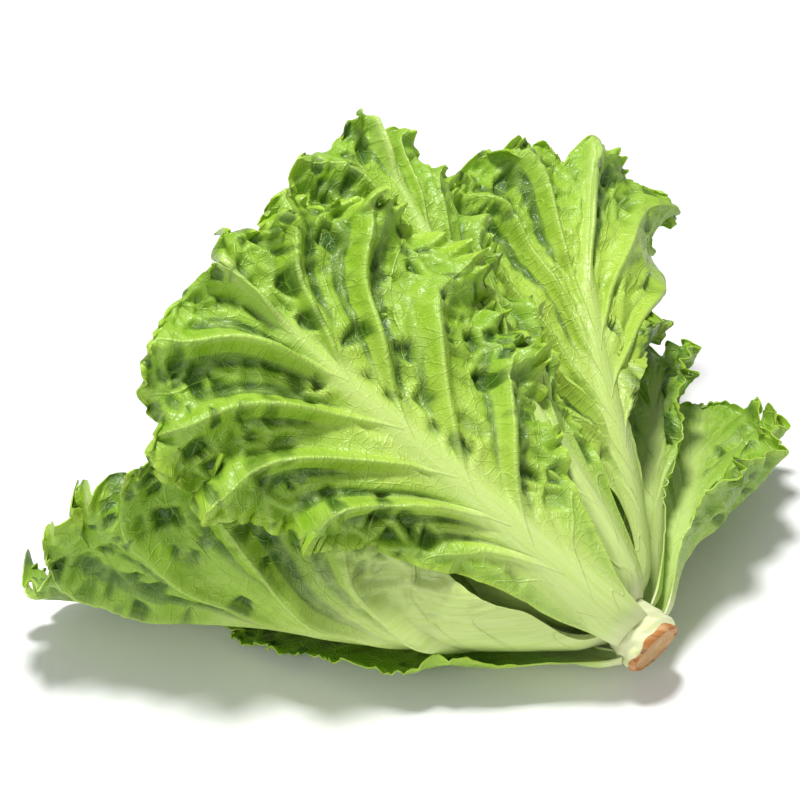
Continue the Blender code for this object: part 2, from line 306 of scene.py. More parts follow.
def leaf_material(name, darker, streaky=0.0):
    """darker pulls the whole blade towards the margin's green, streaky adds dried whitish marks."""
    material = bpy.data.materials.new(name)
    material.use_nodes = True
    nodes = Nodes(material.node_tree)
    shader = material.node_tree.nodes["Principled BSDF"]
    flat = nodes.add("ShaderNodeUVMap", uv_map="flat").outputs[0]
    place = nodes.add("ShaderNodeUVMap", uv_map="veins").outputs[0]
    pale, ridge, edge, deep, hollow, attached = (
        nodes.add("ShaderNodeAttribute", attribute_name=label).outputs["Fac"]
        for label in ("pale", "ridge", "edge", "green", "hollow", "attached")
    )
    network = nodes.add("ShaderNodeGroup", node_tree=VEIN_NETWORK)
    nodes.join(flat, network.inputs["Flat Place"])
    veins = nodes.add("ShaderNodeGroup", node_tree=SIDE_VEINS)
    nodes.join(place, veins.inputs["Vein Place"])
    grooves = nodes.add("ShaderNodeGroup", node_tree=RIB_STREAKS)
    nodes.join(flat, grooves.inputs["Flat Place"])
    streaks = nodes.add("ShaderNodeGroup", node_tree=BLADE_STREAKS)
    nodes.join(place, streaks.inputs["Vein Place"])

    patches = nodes.noise(flat, 38.0, 4.0)
    green = nodes.math("ADD", deep, nodes.math("MULTIPLY_ADD", patches, 0.5, darker - 0.25))
    blade = nodes.mix(nodes.step(green, 0.05, 0.55), BASE_GREEN, BLADE_GREEN)
    margin = nodes.math("MULTIPLY", nodes.step(nodes.math("ADD", green, edge), 0.95, 2.0), 0.85)
    blade = nodes.mix(margin, blade, MARGIN_GREEN)
    # Painted light: the outermost margin is lightened as if light shone through its thin edge.
    rim = nodes.math("MULTIPLY", nodes.step(edge, 0.86, 0.98), 0.7)
    blade = nodes.mix(rim, blade, RIM_LIGHT_GREEN)
    # Painted shade: the hollows, pits and gaps between curls are darkened to a near-black green.
    painted_hollow_shade = nodes.math("MULTIPLY", nodes.step(hollow, 0.05, 0.70), 0.93)
    blade = nodes.mix(painted_hollow_shade, blade, HOLLOW_SHADE_GREEN)
    lines = nodes.math("MULTIPLY", network.outputs["Lines"], 0.35)
    lines = nodes.math("MAXIMUM", lines, veins.outputs["Lines"])
    lines = nodes.math("MAXIMUM", lines, nodes.math("MULTIPLY", ridge, 0.45))
    blade = nodes.mix(nodes.math("MULTIPLY", lines, 0.75), blade, VEIN_GREEN)
    inner = nodes.step(edge, 0.85, 0.10)
    haze = nodes.math("MULTIPLY", nodes.math("MULTIPLY", streaks.outputs["Pale"], inner), 0.60)
    blade = nodes.mix(haze, blade, HAZE_GREEN)
    hairs = nodes.math("MULTIPLY", nodes.math("MULTIPLY", streaks.outputs["Hairs"], inner), 0.35)
    blade = nodes.mix(hairs, blade, BLADE_GREEN)
    rib = nodes.mix(nodes.step(grooves.outputs["Streaks"], 0.35, 0.75), RIB_WHITE, BASE_GREEN)
    rib = nodes.mix(0.35, RIB_WHITE, rib)
    colour = nodes.mix(pale, blade, rib)
    colour = nodes.mix(nodes.math("MULTIPLY", attached, 0.8), colour, STEM_WHITE)
    if streaky:
        dried = nodes.step(nodes.noise(flat, 75.0, 5.0), 0.56, 0.70)
        colour = nodes.mix(nodes.math("MULTIPLY", dried, streaky), colour, RIB_WHITE)
    nodes.join(colour, shader.inputs["Base Color"])

    gloss = nodes.math("MULTIPLY_ADD", nodes.noise(flat, 260.0, 3.0), 0.28, 0.24)
    nodes.join(gloss, shader.inputs["Roughness"])
    nodes.join(LEAF_SHINE, shader.inputs["Specular IOR Level"])
    nodes.join(LEAF_GLOW, shader.inputs["Subsurface Weight"])
    nodes.join(LEAF_GLOW_COLOUR, shader.inputs["Subsurface Radius"])
    nodes.join(LEAF_GLOW_DEPTH, shader.inputs["Subsurface Scale"])

    height = nodes.math("MULTIPLY", network.outputs["Height"], nodes.math("SUBTRACT", 1.0, pale))
    height = nodes.math("ADD", height, nodes.math("MULTIPLY", grooves.outputs["Streaks"], pale))
    height = nodes.math("ADD", height, nodes.math("MULTIPLY", veins.outputs["Lines"], 0.9))
    bump = nodes.add("ShaderNodeBump")
    nodes.join(LEAF_BUMP_STRENGTH, bump.inputs["Strength"])
    nodes.join(LEAF_BUMP_HEIGHT, bump.inputs["Distance"])
    nodes.join(height, bump.inputs["Height"])
    nodes.join(bump.outputs[0], shader.inputs["Normal"])
    return material


GREEN_LEAF = leaf_material("green_leaf", darker=0.0)
DARK_LEAF = leaf_material("dark_leaf", darker=0.35, streaky=0.30)
# A darker copy of the leaf's green, as painted shade for leaves that lie in shadow.
SHADED_LEAF = leaf_material("shaded_leaf", darker=0.40)
LIGHT_LEAF = leaf_material("light_leaf", darker=-0.36)
PALE_LEAF = leaf_material("pale_leaf", darker=-0.30)

# How every leaf grows: laid out flat round its midrib, then wrapped on a flared shell round the head's
# axis. Its side veins stand out, the blade pleats and blisters between them, and the margin grows too
# fast for the rest, so it waves, curls and tears into lobes and teeth.
FLARE_ABOVE = 0.40
FLARE_BELOW = 0.345
FLARE_LEFT = 1.00
FLARE_RIGHT = 1.50
FLARE_SQUARENESS = 3.0
BASE_SPLAY_ABOVE = radians(58)
BASE_SPLAY_BELOW = radians(34)
BASE_BEND = 0.022
FIRST_START = 0.0070
START_STEP = 0.0023
LEAF_GAP = 0.0012
BASE_GAP = 0.0002
HUG_LENGTH = 0.009
BLADE_THICKNESS = 0.0006
RIB_HEIGHT = 0.0034
RIB_HALF_WIDTH = 0.0110
RIB_TIP_HALF_WIDTH = 0.0015
SIDE_RIB_HEIGHT = 0.0007
SPINE_SHARE = 0.86
VEINS_PER_SIDE = 6
VEIN_BEND = 1.9
PATH_STEPS = 20
WRAP_STEPS = 8
MARGIN_STEPS = 400
TIP_CROWDING = 1.3
MARGIN_CROWDING = 1.15
TABLE_SOFTNESS = 0.004
TABLE_LAYER = 0.0011
NEAR_TABLE = 0.035
BLISTER_SIZE = 0.0125
BLISTER_DEPTH = 0.0019
CRINKLE_SIZE = 0.0068
CRINKLE_DEPTH = 0.0013
CRINKLE_SEED = 50
LOBE_LENGTH = 0.047
LOBE_WANDER = 0.13
LOBE_SHARE = 0.016
BITE_LENGTH = 0.029
BITE_WANDER = 0.083
BITE_SHARE = 0.050
TOOTH_LENGTH = 0.0074
TOOTH_WANDER = 0.031
TOOTH_SHARE = 0.018
WAVE_LENGTH = 0.0230
WAVE_WANDER = 0.077
WAVE_HEIGHT = 0.0036
CURL_LENGTH = 0.0076
CURL_WANDER = 0.033
CURL_HEIGHT = 0.0026
CURL_LEAD = 0.0019
CURL_SWAY = 0.0030
FRILL_LENGTH = 0.09
FRILL_WANDER = 0.21
DEEP_PLEAT = 0.0045
DOUBLES = 0.00001


class Leaf:
    """One leaf's sizes. turn and swing are degrees round the head's axis, from the top towards the back, and
    curl and roll are degrees at the tip and round the rib. left and right hold a half's width and, as shares
    of the length, where it starts to widen and where it is widest."""

    def __init__(self, name, order, turn, swing, flare, curl, roll, length, left, right, fold, layer):
        self.name, self.order, self.length, self.layer = name, order, length, layer
        self.turn, self.swing, self.flare, self.curl, self.roll = turn, swing, flare, curl, roll
        self.left, self.right, self.fold = left, right, fold
        self.start = FIRST_START + START_STEP * order

    def shell_point(self, p, angle):
        """Points of the leaf's shell, p along the leaf, in the direction at that angle round the axis."""
        below = smooth(-np.cos(angle), 0.0, 0.9)
        side = np.where(np.sin(angle) < 0, FLARE_LEFT, FLARE_RIGHT)
        upright = FLARE_ABOVE + (FLARE_BELOW - FLARE_ABOVE) * below
        across = (np.abs(np.cos(angle)) / upright) ** FLARE_SQUARENESS
        across += (np.abs(np.sin(angle)) / side) ** FLARE_SQUARENESS
        spread = np.arctan(self.flare * across ** (-1 / FLARE_SQUARENESS))
        splay = BASE_SPLAY_ABOVE + (BASE_SPLAY_BELOW - BASE_SPLAY_ABOVE) * below
        reach = np.zeros_like(p) + self.start
        radius = np.zeros_like(p) + stem_radius(self.start) + LEAF_GAP
        for step in range(PATH_STEPS):
            t = p * (step + 0.5) / PATH_STEPS
            curling = radians(self.curl) * (t / self.length) ** 3
            slope = spread + (splay - spread) * np.exp(-t / BASE_BEND) + curling
            reach = reach + np.cos(slope) * p / PATH_STEPS
            radius = radius + np.sin(slope) * p / PATH_STEPS
        outward = np.cos(angle)[:, None] * ABOVE + np.sin(angle)[:, None] * LEVEL
        return CUT + reach[:, None] * ALONG + radius[:, None] * outward

    def lay(self, p, q):
        """The flat leaf's point, p along and q across its midrib, on the shell, with q kept as a length."""
        angle = radians(self.turn) + radians(self.swing) * (p / self.length) ** 1.3
        for _ in range(WRAP_STEPS):
            ahead, behind = self.shell_point(p, angle + 0.01), self.shell_point(p, angle - 0.01)
            angle = angle + q / WRAP_STEPS / (np.linalg.norm(ahead - behind, axis=1) / 0.02)
        points = self.shell_point(p, angle)
        ends = np.array([0, self.length])
        base, tip = self.shell_point(ends, radians(self.turn) + radians(self.swing) * (ends > 0))
        line = (tip - base) / np.linalg.norm(tip - base)
        roll = radians(self.roll) * smooth(p / self.length, 0.05, 0.5)[:, None]
        away = points - base
        straight = (away @ line)[:, None] * line
        return base + straight + (away - straight) * np.cos(roll) + np.cross(line, away) * np.sin(roll)

    def half_width(self, u, x):
        halves = zip(self.left, self.right)
        width, begin, shoulder = (np.where(u < 0, left, right) for left, right in halves)
        widening = RIB_HALF_WIDTH + (width - RIB_HALF_WIDTH) * smooth(x, begin, shoulder)
        return widening * np.sqrt(np.clip(1 - x**10, 0, 1))

    def flat(self, u, v, w, fork, base_wide):
        """The flat leaf's point: u runs round the margin, v from rib to margin, and w is u's size, swayed."""
        spine = self.length * fork * (1 - w)
        x = 1 - w**2
        margin_p, margin_q = self.length * x, self.half_width(u, x)
        margin_q = margin_q + base_wide * smooth(x, 0.02, 0.18) * (1 - smooth(x, 0.35, 0.75))
        return spine + (margin_p - spine) * (1 - (1 - v) ** VEIN_BEND), np.sign(u) * margin_q * v

    def rib_half_width(self, p):
        narrowing = np.clip(p / self.length, 0, 1) ** 0.7
        return RIB_HALF_WIDTH + (RIB_TIP_HALF_WIDTH - RIB_HALF_WIDTH) * narrowing

    def margin_distance(self, u):
        """How far each u is from the tip round the margin, and below 0 on the left half."""
        order = np.linspace(0, 1, MARGIN_STEPS)
        lengths = []
        for side in (-1, 1):
            edge_p = self.length * (1 - order**2)
            edge_q = self.half_width(side * np.ones(MARGIN_STEPS), 1 - order**2)
            steps = np.hypot(np.diff(edge_p), np.diff(edge_q))
            lengths.append(np.concatenate([[0], np.cumsum(steps)]))
        w = np.abs(u)
        return np.where(u < 0, -np.interp(w, order, lengths[0]), np.interp(w, order, lengths[1]))


def wavy(distance, length, wander, seed):
    """A wave of about that length, never quite regular, from -1 to 1."""
    drift = 0.28 * np.sin(2 * pi * distance / wander + 1.7 * seed)
    drift = drift + 0.17 * np.sin(5.3 * distance / wander + seed)
    return np.sin(2 * pi * (distance / length + drift) + 2.3 * seed)


def bites(distance, length, wander, seed):
    """Narrow dips of uneven depth between round lobes of about that length: 0 on a lobe, up to 1 in a dip."""
    drift = 0.30 * np.sin(2 * pi * distance / wander + 1.7 * seed)
    drift = drift + 0.2 * np.sin(2.9 * distance / wander + seed)
    dip = (1 - np.abs(np.sin(pi * (distance / length + drift)))) ** 2.5
    return dip * (0.55 + 0.45 * np.sin(2 * pi * distance / (1.7 * wander) + 3.1 * seed))


def blisters(leaf, p, q, seed, size):
    """0 on the small veins round each blister and 1 in its middle, and how deep each one is."""
    random = np.random.default_rng(seed)
    columns = np.arange(0, leaf.length + size, size)
    rows = np.arange(-leaf.left[0], leaf.right[0] + size, size)
    middles = np.array([(x + (j % 2) * size / 2, y) for x in columns for j, y in enumerate(rows)])
    middles += random.uniform(-0.45, 0.45, middles.shape) * size
    depths = random.uniform(0, 1, len(middles)) ** 1.6
    nearest = np.full(len(p), 9.0)
    second = np.full(len(p), 9.0)
    depth = np.zeros(len(p))
    for (x, y), own_depth in zip(middles, depths):
        distance = np.hypot(p - x, q - y)
        second = np.minimum(second, np.maximum(distance, nearest))
        depth = np.where(distance < nearest, own_depth, depth)
        nearest = np.minimum(nearest, distance)
    return smooth(second - nearest, 0.0, 0.48 * size), depth


def add_grid(name, columns, rows):
    """A new grid, with each point's u, from -1 to 1 round the margin, and v, from the rib to the margin."""
    bpy.ops.object.select_all(action="DESELECT")
    bpy.ops.mesh.primitive_grid_add(x_subdivisions=columns, y_subdivisions=rows, size=2)
    obj = bpy.context.object
    obj.name = obj.data.name = name
    places = np.zeros(len(obj.data.vertices) * 3)
    obj.data.vertices.foreach_get("co", places)
    column, row = places.reshape(-1, 3)[:, 0], (places.reshape(-1, 3)[:, 1] + 1) / 2
    return obj, np.sign(column) * np.abs(column) ** TIP_CROWDING, 1 - (1 - row) ** MARGIN_CROWDING


def away_from_axis(points):
    """From the head's axis to each point, at a right angle to the axis."""
    outward = points - CUT
    return outward - (outward @ ALONG)[:, None] * ALONG


def outward_normals(mesh, sheet, laid):
    """The plain sheet's normals, turned away from the axis, and whether the mesh's faces point inwards."""
    mesh.vertices.foreach_set("co", sheet.ravel())
    mesh.update()
    normals = np.zeros(len(mesh.vertices) * 3)
    mesh.vertices.foreach_get("normal", normals)
    normals = normals.reshape(-1, 3)
    inside_out = np.sum(normals * away_from_axis(laid)) <= 0
    return (-normals if inside_out else normals), inside_out


def store_thickness(obj, thickness):
    """Keeps each point's thickness as a share of the greatest one, which it returns."""
    full = float(thickness.max())
    shares = obj.vertex_groups.new(name="thickness")
    for index, share in enumerate(thickness / full):
        shares.add([index], float(share), "REPLACE")
    return full


def paint(mesh, masks, maps):
    """Gives the mesh its masks as attributes and its flat places as UV maps."""
    for label, values in masks.items():
        values = values.astype(np.float32)
        mesh.attributes.new(label, "FLOAT", "POINT").data.foreach_set("value", values)
    corners = np.zeros(len(mesh.loops), np.int32)
    mesh.loops.foreach_get("vertex_index", corners)
    while mesh.uv_layers:
        mesh.uv_layers.remove(mesh.uv_layers[0])
    for label, (first, second) in maps.items():
        layer = mesh.uv_layers.new(name=label)
        layer.uv.foreach_set("vector", np.stack([first[corners], second[corners]], axis=1).ravel())


def weld(mesh, inside_out):
    """Joins the two halves along the rib and turns the faces outwards."""
    shape = bmesh.new()
    shape.from_mesh(mesh)
    bmesh.ops.remove_doubles(shape, verts=shape.verts, dist=DOUBLES)
    if inside_out:
        bmesh.ops.reverse_faces(shape, faces=shape.faces)
    shape.to_mesh(mesh)
    shape.free()


def thicken(obj, full):
    """Gives the sheet its stored thickness, with nothing of it below the table."""
    solid = obj.modifiers.new("thickness", "SOLIDIFY")
    solid.thickness = full
    solid.offset = 1
    solid.vertex_group = "thickness"
    solid.thickness_vertex_group = 0
    bpy.ops.object.modifier_apply(modifier="thickness")
    points = np.zeros(len(obj.data.vertices) * 3)
    obj.data.vertices.foreach_get("co", points)
    points = points.reshape(-1, 3)
    points[:, 2] = np.maximum(points[:, 2], 0)
    obj.data.vertices.foreach_set("co", points.ravel())
    obj.data.update()
    bpy.ops.object.shade_smooth_by_angle(angle=radians(60))


def make_leaf(
    leaf, material, columns, rows, ruffle=1.0, frill_left=1.0, frill_right=1.0, blister=1.0, pleat=0.002,
    lobed=1.0, rib_shift=0.0, rib_wide=1.0, fork=SPINE_SHARE, base_wide=0.0, belly=0.0
):
    """The leaf in fine detail. p and q are a point's places along and across the flat leaf. fork is how far
    up the rib the last side vein leaves it, and belly how far the blade beside the rib sags to the front."""
    seed = leaf.order + 1
    obj, u, v = add_grid(leaf.name + "_fine", columns, rows)
    mesh = obj.data
    w = np.abs(u)
    left = u < 0

    # The margin: lobes, bites and teeth cut into it, and it sways along with its curls.
    margin = leaf.margin_distance(u)
    wide_enough = smooth(leaf.half_width(u, np.minimum(1 - w**2, 0.85)), 0.011, 0.040)
    away_from_base = smooth(1 - w, 0.10, 0.34) * wide_enough
    frill = frill_left + (frill_right - frill_left) * smooth(u, -0.15, 0.15)
    frill = frill * (0.75 + 0.25 * wavy(margin, FRILL_LENGTH, FRILL_WANDER, seed + 3))
    plain_sheet = leaf.lay(*leaf.flat(u, v, w, fork, base_wide))
    sway = CURL_SWAY * wavy(margin + CURL_LEAD, CURL_LENGTH, CURL_WANDER, seed + 5) * smooth(v, 0.84, 1.0)
    w = np.clip(w + away_from_base * ruffle * frill * sway * smooth(w, 0.0, 0.1), 0, 1)
    lobes = LOBE_SHARE * wavy(margin, LOBE_LENGTH, LOBE_WANDER, seed)
    lobes = lobes - BITE_SHARE * lobed * bites(margin, BITE_LENGTH, BITE_WANDER, seed + 1)
    teeth = -TOOTH_SHARE * bites(margin, TOOTH_LENGTH, TOOTH_WANDER, seed + 2)
    reach = 1 + away_from_base * (smooth(v, 0.60, 1.0) * lobes + smooth(v, 0.90, 1.0) * teeth)
    p, q = np.array(leaf.flat(u, v, w, fork, base_wide)) * reach

    # The side veins, counted from the tip, and the pleats and broad folds between them.
    veins = w * (VEINS_PER_SIDE + np.where(left, 0.35, -0.25))
    veins = veins + (0.07 * np.sin(38 * p + 9 * v + seed) + 0.03 * np.sin(90 * p - 13 * v + 2 * seed)) * v
    folds = leaf.fold * np.cos(2 * pi * veins) * v**1.6 * away_from_base
    leaning = veins + 0.055 * np.sin(2 * pi * veins)
    crest = 0.58 * np.cos(2 * pi * leaning) + 0.42 * np.cos(4 * pi * leaning)
    pleated = smooth(v, 0.03, 0.30) * (1 - smooth(v, 0.55, 0.95)) * away_from_base
    uneven = 0.80 + 0.35 * np.sin(2.3 * veins + seed + 2.0 * left) + 0.25 * np.sin(55 * p - 40 * q + seed)
    folds += pleat * uneven * (0.25 + crest) * pleated
    beside_vein = smooth(np.abs((veins + 0.5) % 1 - 0.5), 0.0, 0.10)

    # The margin's waves and curls, the blisters and finer crinkles, and a slow roll of the whole blade.
    waves = WAVE_HEIGHT * wavy(margin, WAVE_LENGTH, WAVE_WANDER, seed + 4) * smooth(v, 0.62, 1.0) ** 1.5
    curls = CURL_HEIGHT * wavy(margin, CURL_LENGTH, CURL_WANDER, seed + 5) * smooth(v, 0.84, 1.0)
    pockets, depth = blisters(leaf, p, q, seed, BLISTER_SIZE)
    crinkles, crinkle_depth = blisters(leaf, p, q, seed + CRINKLE_SEED, CRINKLE_SIZE)
    crinkles = crinkles * smooth(v, 0.30, 0.65) * away_from_base
    rib_middle = rib_shift * smooth(p / leaf.length, 0.0, 0.30)
    along_rib = np.clip(p / (leaf.length * fork / SPINE_SHARE), 0, 1)
    rib_share = np.abs(q - rib_middle) / leaf.rib_half_width(along_rib * leaf.length) / rib_wide
    on_blade = smooth(rib_share, 0.9, 2.6) * smooth(p / leaf.length, 0.10, 0.35)
    dents = -BLISTER_DEPTH * blister * (0.25 + 1.9 * depth) * pockets * beside_vein * on_blade
    dents -= CRINKLE_DEPTH * min(1.0, blister) * (0.1 + 1.7 * crinkle_depth) * crinkles
    rolling = 0.0016 * np.sin(95 * p + 60 * q + seed) + 0.0012 * np.sin(150 * q - 70 * p + 2 * seed)
    height = folds + rolling * on_blade + away_from_base * frill * ruffle * (waves + curls) + dents

    # Laid on its shell, the base drawn in to the stem, and pressed softly on the table or the leaf below.
    laid = leaf.lay(p, q)
    sagging = np.exp(-(((p / leaf.length - 0.42) / 0.24) ** 2)) * (1 - smooth(q, 0.015, 0.090))
    laid[:, 1] -= belly * sagging
    from_axis = away_from_axis(laid)
    from_axis /= np.linalg.norm(from_axis, axis=1)[:, None]
    laid -= from_axis * ((LEAF_GAP - BASE_GAP) * (1 - smooth(p, 0.0, HUG_LENGTH)))[:, None]
    normals, inside_out = outward_normals(mesh, plain_sheet, laid)
    table = TABLE_LAYER * leaf.layer
    free = smooth(laid[:, 2] - table, 0.000, NEAR_TABLE)
    folded = laid + normals * (height * free)[:, None]
    folded[:, 2] += (1 - free) * away_from_base * frill * ruffle * (np.abs(waves) + np.abs(curls))
    lift = folded[:, 2] - table
    folded[:, 2] = table + (lift + np.sqrt(lift**2 + TABLE_SOFTNESS**2)) / 2
    mesh.vertices.foreach_set("co", folded.ravel())

    # Thickest in the rib, thinner in the side veins, and thin all over where it lies flat on the table.
    standing = smooth(folded[:, 2] - table, 0.002, 0.014)
    rib = np.clip(1 - (rib_share / 1.25) ** 2, 0, 1) ** 1.2 * (1 - 0.9 * along_rib)
    side_rib = SIDE_RIB_HEIGHT * (1 - beside_vein) * smooth(rib_share, 0.5, 1.5)
    side_rib = side_rib * (1 - v) ** 0.7 * away_from_base
    thickness = BLADE_THICKNESS + standing * (RIB_HEIGHT * rib * smooth(p, -0.004, 0.014) + side_rib)
    full = store_thickness(obj, thickness)

    # Its colours: pale at the rib and the base, green outwards, and painted shade in the hollows and between
    # the curls.
    pale = np.clip(1.1 / (1 + (rib_share / 1.5) ** 3), 0, 1) * (1 - 0.65 * along_rib)
    near_base = smooth(0.30 * rib_wide - p / leaf.length, 0.0, 0.28)
    pale = np.maximum(pale, (0.35 + 0.25 * rib_wide) * near_base)
    green = smooth(0.55 * p / leaf.length + 0.85 * v, 0.22, 1.10)
    # Painted shade: the hollow mask darkens pleat valleys, blister pits, crinkles and the gaps between the
    # curls.
    hollow = smooth(-crest, 0.10, 0.50) * pleated * min(1.0, pleat / DEEP_PLEAT) * smooth(uneven, 0.55, 0.95)
    shaded_pits = pockets * smooth(depth, 0.35, 0.85) * on_blade * (1 - smooth(v, 0.75, 1.0))
    hollow = np.maximum(hollow, 0.75 * min(1.0, blister) * shaded_pits)
    shade_between_curls = smooth(-(waves / WAVE_HEIGHT + curls / CURL_HEIGHT), 0.25, 1.3)
    recess_shade = shade_between_curls * smooth(frill, 1.0, 1.8) * smooth(v, 0.70, 0.88)
    hollow = np.maximum(hollow, 0.85 * recess_shade * away_from_base)
    hollow = np.maximum(hollow, 0.85 * min(1.0, blister) * smooth(crinkle_depth, 0.45, 0.80) * crinkles)
    masks = {
        "pale": pale, "ridge": 1 - pockets * beside_vein, "edge": v, "green": green, "hollow": hollow,
        "attached": 1 - smooth(p, 0.000, 0.012),
    }
    own_patch = 0.5 + 0.31 * seed
    paint(mesh, masks, {"flat": (q + own_patch, p + own_patch), "veins": (veins, v)})

    weld(mesh, inside_out)
    thicken(obj, full)
    obj.data.materials.clear()
    obj.data.materials.append(material)
    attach(obj, "root")
    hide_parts(leaf.name)
    return obj


# The leaf along the front, one of the oldest: soft watery tissue like every leaf, grown from the foot of
# the stem and pressed flat between the head and the table. Only its pale base and curled edge show, in a
# darker copy of the leaf material that is painted shade.
make_leaf(
    Leaf(
        "leaf_under_front", order=0, turn=-142, swing=8, flare=1.36, curl=0, roll=0, length=0.186,
        left=(0.085, 0.08, 0.80), right=(0.048, 0.08, 0.55), fold=0.0035, layer=1,
    ),
    SHADED_LEAF, columns=340, rows=40, frill_left=2.6, base_wide=0.012,
)

# The leaf that has fallen aside onto the table at the right, an old outer one. It is still joined to the
# foot of the stem, darker and glossy, deeply lobed, and has whitish dried marks.
make_leaf(
    Leaf(
        "leaf_far_right", order=1, turn=104, swing=0, flare=1.38, curl=0, roll=30, length=0.176,
        left=(0.054, 0.00, 0.45), right=(0.024, 0.10, 0.80), fold=0.0060, layer=1,
    ),
    DARK_LEAF, columns=340, rows=48, ruffle=1.3, lobed=2.2, base_wide=0.010,
)

# The biggest leaf in view, at the top left, with its back to the viewer. A thick pale rib runs up its
# middle from the stem, deep pleats lie between its side veins, and its right margin is densely frilled.
make_leaf(
    Leaf(
        "leaf_top_left", order=2, turn=-44, swing=0, flare=0.84, curl=4, roll=0, length=0.244,
        left=(0.104, 0.14, 1.00), right=(0.095, 0.08, 0.75), fold=0.0070, layer=4,
    ),
    GREEN_LEAF, columns=640, rows=66, frill_left=1.3, frill_right=2.2, blister=1.2, pleat=0.0062,
    fork=0.80, base_wide=0.008,
)

# A leaf that the head lies on, grown from the underside of the stem. The head's weight presses its blade
# flat on the leaf below, and it is hidden from above.
make_leaf(
    Leaf(
        "leaf_under_middle", order=3, turn=176, swing=4, flare=0.95, curl=0, roll=0, length=0.235,
        left=(0.075, 0.08, 0.86), right=(0.080, 0.08, 0.86), fold=0.0035, layer=2,
    ),
    GREEN_LEAF, columns=140, rows=20,
)

# The big leaf at the front left, lying on the table. Its broad pale base fans out from the stem, and its
# long rib sags forward along the bottom.
make_leaf(
    Leaf(
        "leaf_front_left", order=5, turn=-118, swing=1, flare=1.16, curl=0, roll=28, length=0.254,
        left=(0.045, 0.08, 0.85), right=(0.130, 0.08, 0.90), fold=0.0065, layer=5,
    ),
    GREEN_LEAF, columns=560, rows=64, frill_right=2.2, pleat=0.0046,
    rib_shift=0.012, rib_wide=2.0, fork=0.60, base_wide=0.022, belly=0.012,
)

# The leaf between the two top ones, grown behind both. Its tip stands up between theirs, and its frilled
# margin comes out past the edge of the leaf over it.
# It takes the darker copy of the leaf material, as painted shade.
make_leaf(
    Leaf(
        "leaf_top_middle", order=6, turn=3, swing=10, flare=0.74, curl=4, roll=0, length=0.245,
        left=(0.100, 0.08, 0.86), right=(0.032, 0.08, 0.50), fold=0.0050, layer=4,
    ),
    SHADED_LEAF, columns=440, rows=56, frill_left=0.6, frill_right=1.8, blister=1.2, pleat=0.0036, rib_wide=0.6,
)

# The leaf at the top right, the lightest green of the outer ones. Its broad white rib is thick and juicy,
# joined to the stem over its full width, and forks into three big veins near the top.
make_leaf(
    Leaf(
        "leaf_back_right", order=7, turn=64, swing=8, flare=0.63, curl=7, roll=-14, length=0.238,
        left=(0.100, 0.08, 0.85), right=(0.118, 0.50, 0.88), fold=0.0060, layer=4,
    ),
    LIGHT_LEAF, columns=480, rows=64, frill_left=1.3, blister=1.3, pleat=0.0040, rib_wide=1.2, fork=0.62,
)

# A second leaf under the head, at the right. Its pale base shows beside the stem that it grows from, and
# the rest is hidden under the leaves above it.
make_leaf(
    Leaf(
        "leaf_under_right", order=8, turn=144, swing=0, flare=0.68, curl=0, roll=0, length=0.200,
        left=(0.070, 0.08, 0.86), right=(0.070, 0.08, 0.86), fold=0.0040, layer=3,
    ),
    GREEN_LEAF, columns=160, rows=24,
)

# The small leaf in the gap between the top left and the front left leaves. It springs higher on the stem
# than they do, so it is younger, and only a strip of its green blade shows.
make_leaf(
    Leaf(
        "leaf_inner_front", order=9, turn=-93, swing=0, flare=0.66, curl=0, roll=0, length=0.172,
        left=(0.055, 0.08, 0.86), right=(0.070, 0.08, 0.75), fold=0.0040, layer=4,
    ),
    GREEN_LEAF, columns=300, rows=40, frill_left=1.6, frill_right=1.6,
)

# The dark leaf behind the broad white rib, on its right, standing between that leaf and the fallen one.
# It is soft and glossy, and its ruffled margin stands up.
make_leaf(
    Leaf(
        "leaf_inner_right", order=4, turn=101, swing=0, flare=0.88, curl=6, roll=0, length=0.190,
        left=(0.030, 0.30, 0.80), right=(0.050, 0.08, 0.80), fold=0.0045, layer=3,
    ),
    DARK_LEAF, columns=340, rows=44, ruffle=1.2,
)

# The leaves inside the head: younger ones, close round the heart, that hardly show from outside. They are
# of the same tissue, and spring from the stem above the outer leaves.
make_leaf(
    Leaf(
        "leaf_inner_under", order=10, turn=-163, swing=0, flare=0.47, curl=0, roll=0, length=0.200,
        left=(0.060, 0.08, 0.86), right=(0.060, 0.08, 0.86), fold=0.0030, layer=4,
    ),
    GREEN_LEAF, columns=120, rows=18,
)
make_leaf(
    Leaf(
        "leaf_inner_top", order=11, turn=-38, swing=0, flare=0.42, curl=0, roll=0, length=0.195,
        left=(0.065, 0.08, 0.86), right=(0.055, 0.08, 0.86), fold=0.0035, layer=4,
    ),
    GREEN_LEAF, columns=140, rows=20,
)
make_leaf(
    Leaf(
        "leaf_inner_far", order=12, turn=110, swing=0, flare=0.36, curl=0, roll=0, length=0.190,
        left=(0.055, 0.08, 0.86), right=(0.055, 0.08, 0.86), fold=0.0035, layer=4,
    ),
    GREEN_LEAF, columns=140, rows=20,
)

# The heart: three small leaves round the stem's tip, the youngest of all. They grow in the dark, so they
# stay paler than the rest.
make_leaf(
    Leaf(
        "leaf_heart_front", order=13, turn=-110, swing=0, flare=0.32, curl=0, roll=0, length=0.160,
        left=(0.050, 0.08, 0.86), right=(0.050, 0.08, 0.86), fold=0.0025, layer=4,
    ),
    PALE_LEAF, columns=120, rows=18,
)
make_leaf(
    Leaf(
        "leaf_heart_top", order=14, turn=30, swing=0, flare=0.22, curl=0, roll=0, length=0.155,
        left=(0.045, 0.08, 0.86), right=(0.045, 0.08, 0.86), fold=0.0025, layer=4,
    ),
    PALE_LEAF, columns=120, rows=18,
)
make_leaf(
    Leaf(
        "leaf_heart_under", order=15, turn=170, swing=0, flare=0.24, curl=0, roll=0, length=0.150,
        left=(0.045, 0.08, 0.86), right=(0.045, 0.08, 0.86), fold=0.0020, layer=4,
    ),
    PALE_LEAF, columns=120, rows=18,
)

